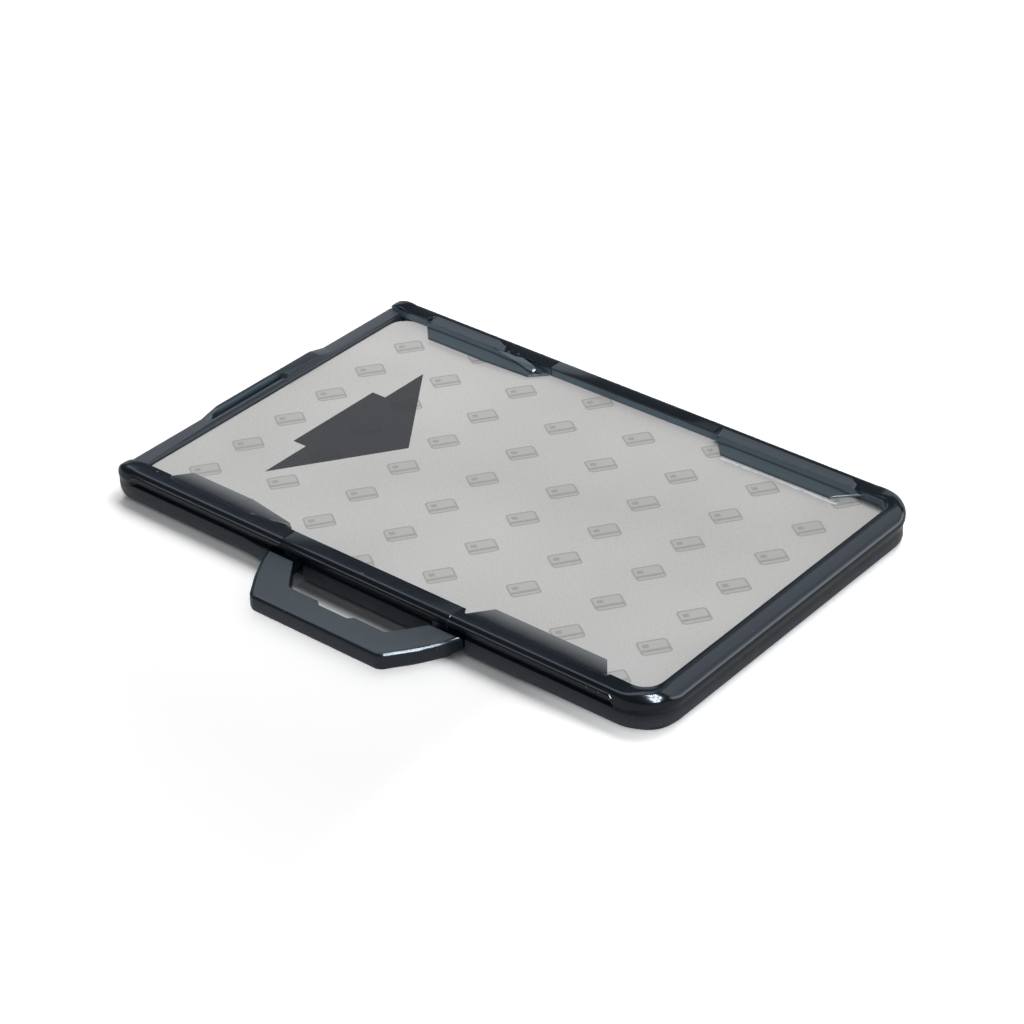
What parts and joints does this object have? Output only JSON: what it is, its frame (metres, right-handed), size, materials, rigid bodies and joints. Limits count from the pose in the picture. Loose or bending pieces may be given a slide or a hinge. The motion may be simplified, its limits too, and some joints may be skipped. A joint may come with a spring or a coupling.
{
  "type": "badge holder",
  "caption": "Open-faced rigid holder for one ID card, with corner lips, a shield sheet, a strap slot, a side hanging loop and squeeze bars that bow the card up to be read.",
  "frame": {"origin": "Centre of the flat back face, under the middle of the card recess.", "axes": "+X runs along the card from the insertion end to the closed end, +Y towards the long side without the loop, +Z out through the open face."},
  "size_m": [0.0914, 0.0701, 0.0054],
  "materials": {
    "glossy_plastic": "high gloss blue-black moulding, slightly see-through where it is thin",
    "shield_face": null,
    "shield_foil": "plain foil",
    "spring_steel": "plain spring strip"
  },
  "bodies": {
    "housing": {"rear_shell": "glossy_plastic", "front_frame": "glossy_plastic", "near_entry_rail": "glossy_plastic", "far_entry_rail": "glossy_plastic", "shield_sheet": "shield_face", "shield_core": "shield_foil", "near_return_spring": "spring_steel", "far_return_spring": "spring_steel"},
    "near_slider": {"near_squeeze_bar": "glossy_plastic", "side_loop": "glossy_plastic"},
    "far_slider": {"far_squeeze_bar": "glossy_plastic", "far_slide_plate": "glossy_plastic"},
    "near_finger": {"near_card_finger": "glossy_plastic"},
    "far_finger": {"far_card_finger": "glossy_plastic"}
  },
  "joints": [
    {"name": "near_squeeze", "type": "slide", "parent": "housing", "child": "near_slider", "axis": [0, 1, 0], "range_m": [0, 0.0012], "stiffness_N_per_m": 1500, "springref_m": -0.0004, "deforming": ["near_return_spring"]},
    {"name": "far_squeeze", "type": "slide", "parent": "housing", "child": "far_slider", "axis": [0, -1, 0], "range_m": [0, 0.0012], "stiffness_N_per_m": 1500, "springref_m": -0.0004, "deforming": ["far_return_spring"]},
    {"name": "near_finger_flex", "type": "hinge", "parent": "housing", "child": "near_finger", "pos_m": [-0.02515, -0.0288, 0.0045], "axis": [0, -1, 0], "range_deg": [0, 5], "stiffness_Nm_per_rad": 0.02},
    {"name": "far_finger_flex", "type": "hinge", "parent": "housing", "child": "far_finger", "pos_m": [-0.02515, 0.0288, 0.0045], "axis": [0, -1, 0], "range_deg": [0, 5], "stiffness_Nm_per_rad": 0.02}
  ]
}
